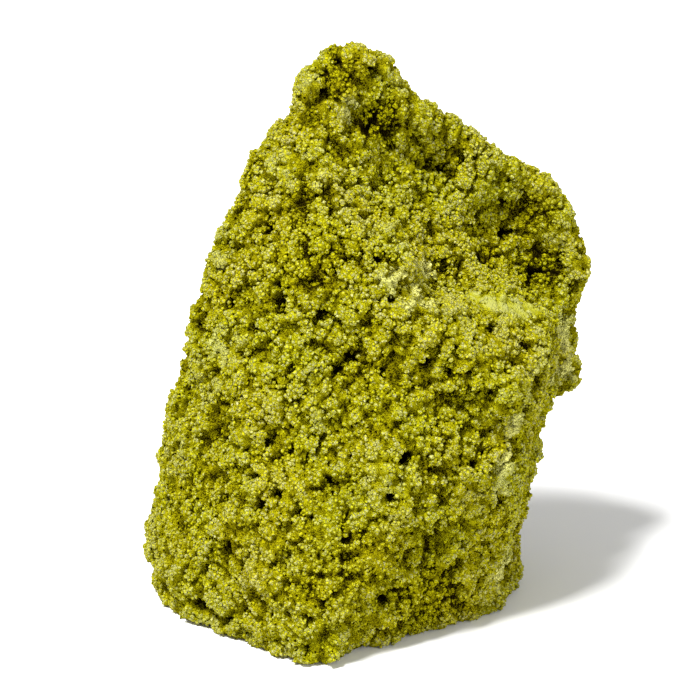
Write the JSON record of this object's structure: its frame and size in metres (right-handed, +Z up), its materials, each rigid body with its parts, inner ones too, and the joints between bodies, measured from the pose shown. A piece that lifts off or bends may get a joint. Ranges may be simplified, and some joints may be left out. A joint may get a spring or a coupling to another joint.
{
  "type": "nontronite specimen",
  "caption": "Upright lump of granular yellow-green nontronite with a knob on top, a hollow below its rim, an overhanging lobe and a flat cut base.",
  "frame": {"origin": "on the flat base, below the middle of the mass's bounding box", "axes": "+Z up from the base to the knob, -Y out of the broad front face, +X to the overhanging lobe"},
  "size_m": [0.0596, 0.0456, 0.0773],
  "materials": {
    "nontronite": "matt earthy clay mineral, covered in fine rounded grains, saturated yellow-green in the hollows and dusted paler on the high spots"
  },
  "bodies": {
    "root": {"nontronite_mass": "nontronite"}
  },
  "joints": []
}
